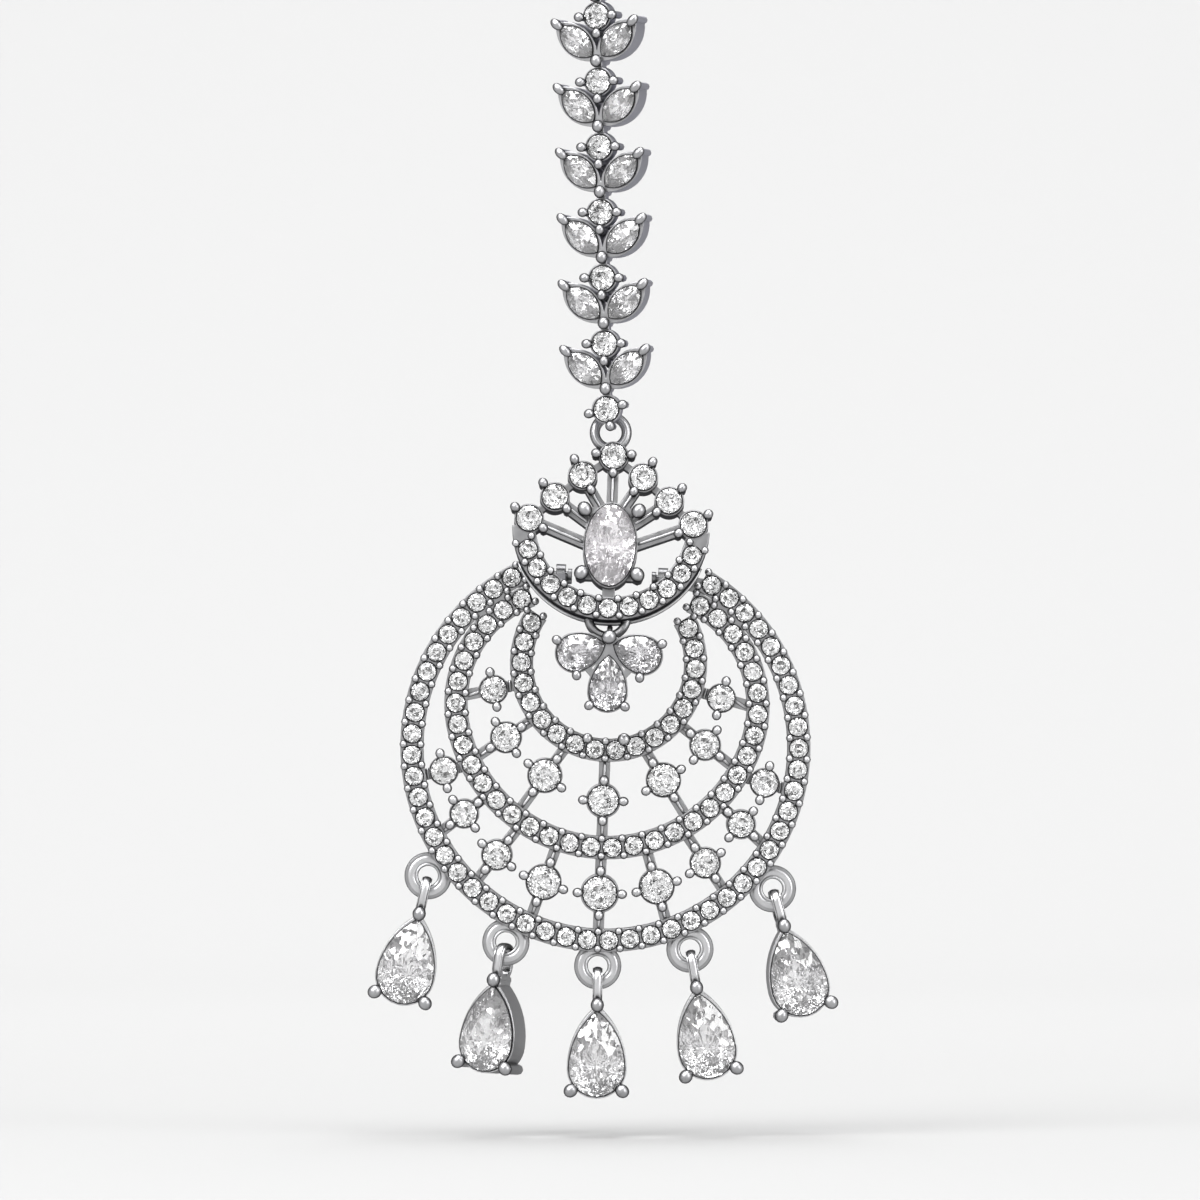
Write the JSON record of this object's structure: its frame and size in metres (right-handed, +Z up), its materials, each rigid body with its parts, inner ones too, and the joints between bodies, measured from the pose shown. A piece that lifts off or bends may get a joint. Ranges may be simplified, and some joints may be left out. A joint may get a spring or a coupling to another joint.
{
  "type": "maang tikka hair jewel",
  "caption": "Maang tikka: a hair hook, a chain of stone-set leaf links, a lotus crown with a trefoil, and a hinged pierced crescent with pear drops.",
  "frame": {"origin": "inside top of the hair hook's arch, where the jewel hangs", "axes": "+Z up along the hanging jewel, -Y out of the decorated front, +X to the right seen from the front"},
  "size_m": [0.0335, 0.008, 0.0923],
  "materials": {
    "silver_metal": "polished rhodium plate",
    "clear_stone": "clear faceted stone"
  },
  "bodies": {
    "chain": {"chain_link_1": "silver_metal", "chain_link_2": "silver_metal", "chain_link_3": "silver_metal", "chain_link_4": "silver_metal", "chain_link_5": "silver_metal", "chain_link_6": "silver_metal", "chain_link_7": "silver_metal", "hair_hook": "silver_metal", "link_bud_stone_1": "clear_stone", "link_bud_stone_2": "clear_stone", "link_bud_stone_3": "clear_stone", "link_bud_stone_4": "clear_stone", "link_bud_stone_5": "clear_stone", "link_bud_stone_6": "clear_stone", "link_bud_stone_7": "clear_stone", "link_leaf_stone_left_1": "clear_stone", "link_leaf_stone_left_2": "clear_stone", "link_leaf_stone_left_3": "clear_stone", "link_leaf_stone_left_4": "clear_stone", "link_leaf_stone_left_5": "clear_stone", "link_leaf_stone_left_6": "clear_stone", "link_leaf_stone_left_7": "clear_stone", "link_leaf_stone_right_1": "clear_stone", "link_leaf_stone_right_2": "clear_stone", "link_leaf_stone_right_3": "clear_stone", "link_leaf_stone_right_4": "clear_stone", "link_leaf_stone_right_5": "clear_stone", "link_leaf_stone_right_6": "clear_stone", "link_leaf_stone_right_7": "clear_stone"},
    "crown": {"crown_fan_stones": "clear_stone", "crown_frame": "silver_metal", "crown_pave_stones": "clear_stone", "oval_stone": "clear_stone", "trefoil_frame": "silver_metal", "trefoil_stone_left": "clear_stone", "trefoil_stone_middle": "clear_stone", "trefoil_stone_right": "clear_stone"},
    "crescent": {"crescent_frame": "silver_metal", "drop_setting_1": "silver_metal", "drop_setting_2": "silver_metal", "drop_setting_3": "silver_metal", "drop_setting_4": "silver_metal", "drop_setting_5": "silver_metal", "drop_stone_1": "clear_stone", "drop_stone_2": "clear_stone", "drop_stone_3": "clear_stone", "drop_stone_4": "clear_stone", "drop_stone_5": "clear_stone", "inner_accent_stones": "clear_stone", "inner_pave_stones": "clear_stone", "middle_pave_stones": "clear_stone", "outer_accent_stones": "clear_stone", "outer_pave_stones": "clear_stone"}
  },
  "joints": [
    {"name": "crown_swing", "type": "hinge", "parent": "chain", "child": "crown", "pos_m": [0.00124, 0, -0.04269], "axis": [0.9993, 0, -0.0384], "range_deg": [-10, 90]},
    {"name": "crescent_swing", "type": "hinge", "parent": "crown", "child": "crescent", "pos_m": [0.00128, 0.00051, -0.0542], "axis": [0.9993, 0, -0.0384], "range_deg": [-30, 90]}
  ]
}
